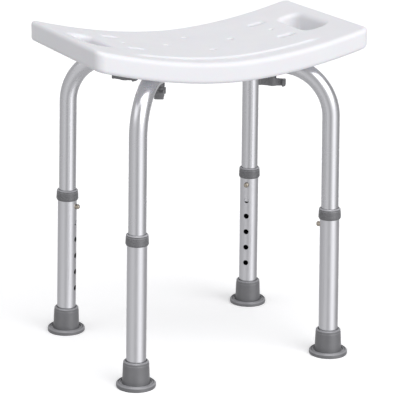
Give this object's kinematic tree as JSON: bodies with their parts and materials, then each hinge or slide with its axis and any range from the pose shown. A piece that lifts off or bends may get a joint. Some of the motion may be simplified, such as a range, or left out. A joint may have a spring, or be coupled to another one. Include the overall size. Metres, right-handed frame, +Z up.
{
  "type": "shower stool",
  "caption": "Backless shower stool with a curved plastic seat, end hand holes, and splayed telescoping aluminium legs with snap-button height setting and rubber feet.",
  "frame": {"origin": "on the floor, midway between the four feet", "axes": "+Z up, X along the seat's long side, -Y towards the front"},
  "size_m": [0.421, 0.306, 0.4792],
  "materials": {
    "seat_plastic": "white blow-moulded polyethylene, satin, fine grain",
    "tube_aluminium": "satin anodised drawn tube",
    "collar_plastic": "mid-grey moulded plastic, fine texture",
    "foot_rubber": "mid-grey moulded rubber, matt",
    "knob_plastic": "dark grey moulded plastic",
    "fixing_steel": "nickel-plated steel",
    "insert_brass": "machined brass"
  },
  "bodies": {
    "seat_frame": {"seat": "seat_plastic", "upper_tube_fl": "tube_aluminium", "threaded_insert_fl": "insert_brass", "saddle_spacer_fl": "knob_plastic", "v_spring_fl": "fixing_steel", "upper_tube_fr": "tube_aluminium", "threaded_insert_fr": "insert_brass", "saddle_spacer_fr": "knob_plastic", "v_spring_fr": "fixing_steel", "upper_tube_bl": "tube_aluminium", "threaded_insert_bl": "insert_brass", "saddle_spacer_bl": "knob_plastic", "v_spring_bl": "fixing_steel", "upper_tube_br": "tube_aluminium", "threaded_insert_br": "insert_brass", "saddle_spacer_br": "knob_plastic", "v_spring_br": "fixing_steel"},
    "leg_fl": {"lower_tube_fl": "tube_aluminium", "collar_fl": "collar_plastic", "foot_fl": "foot_rubber", "foot_disc_fl": "fixing_steel"},
    "button_fl": {"snap_button_fl": "fixing_steel"},
    "knob_fl": {"wing_knob_fl": "knob_plastic", "knob_stud_fl": "fixing_steel"},
    "leg_fr": {"lower_tube_fr": "tube_aluminium", "collar_fr": "collar_plastic", "foot_fr": "foot_rubber", "foot_disc_fr": "fixing_steel"},
    "button_fr": {"snap_button_fr": "fixing_steel"},
    "knob_fr": {"wing_knob_fr": "knob_plastic", "knob_stud_fr": "fixing_steel"},
    "leg_bl": {"lower_tube_bl": "tube_aluminium", "collar_bl": "collar_plastic", "foot_bl": "foot_rubber", "foot_disc_bl": "fixing_steel"},
    "button_bl": {"snap_button_bl": "fixing_steel"},
    "knob_bl": {"wing_knob_bl": "knob_plastic", "knob_stud_bl": "fixing_steel"},
    "leg_br": {"lower_tube_br": "tube_aluminium", "collar_br": "collar_plastic", "foot_br": "foot_rubber", "foot_disc_br": "fixing_steel"},
    "button_br": {"snap_button_br": "fixing_steel"},
    "knob_br": {"wing_knob_br": "knob_plastic", "knob_stud_br": "fixing_steel"}
  },
  "joints": [
    {"name": "leg_fl_slide", "type": "slide", "parent": "seat_frame", "child": "leg_fl", "axis": [0.012, 0.012, 0.9999], "range_m": [0, 0.127], "deforming": ["snap_button_fl"]},
    {"name": "button_fl_press", "type": "slide", "parent": "seat_frame", "child": "button_fl", "axis": [-0.707, -0.707, 0.0169], "range_m": [0, 0.0072], "stiffness_N_per_m": 1400, "deforming": ["v_spring_fl"]},
    {"name": "knob_fl_turn", "type": "hinge", "parent": "seat_frame", "child": "knob_fl", "pos_m": [-0.08852, -0.05882, 0.4], "axis": [0, 0, 1], "continuous": true},
    {"name": "leg_fr_slide", "type": "slide", "parent": "seat_frame", "child": "leg_fr", "axis": [-0.012, 0.012, 0.9999], "range_m": [0, 0.127], "deforming": ["snap_button_fr"]},
    {"name": "button_fr_press", "type": "slide", "parent": "seat_frame", "child": "button_fr", "axis": [0.707, -0.707, 0.0169], "range_m": [0, 0.0072], "stiffness_N_per_m": 1400, "deforming": ["v_spring_fr"]},
    {"name": "knob_fr_turn", "type": "hinge", "parent": "seat_frame", "child": "knob_fr", "pos_m": [0.08852, -0.05882, 0.4], "axis": [0, 0, 1], "continuous": true},
    {"name": "leg_bl_slide", "type": "slide", "parent": "seat_frame", "child": "leg_bl", "axis": [0.012, -0.012, 0.9999], "range_m": [0, 0.127], "deforming": ["snap_button_bl"]},
    {"name": "button_bl_press", "type": "slide", "parent": "seat_frame", "child": "button_bl", "axis": [-0.707, 0.707, 0.0169], "range_m": [0, 0.0072], "stiffness_N_per_m": 1400, "deforming": ["v_spring_bl"]},
    {"name": "knob_bl_turn", "type": "hinge", "parent": "seat_frame", "child": "knob_bl", "pos_m": [-0.08852, 0.05882, 0.4], "axis": [0, 0, 1], "continuous": true},
    {"name": "leg_br_slide", "type": "slide", "parent": "seat_frame", "child": "leg_br", "axis": [-0.012, -0.012, 0.9999], "range_m": [0, 0.127], "deforming": ["snap_button_br"]},
    {"name": "button_br_press", "type": "slide", "parent": "seat_frame", "child": "button_br", "axis": [0.707, 0.707, 0.0169], "range_m": [0, 0.0072], "stiffness_N_per_m": 1400, "deforming": ["v_spring_br"]},
    {"name": "knob_br_turn", "type": "hinge", "parent": "seat_frame", "child": "knob_br", "pos_m": [0.08852, 0.05882, 0.4], "axis": [0, 0, 1], "continuous": true}
  ]
}
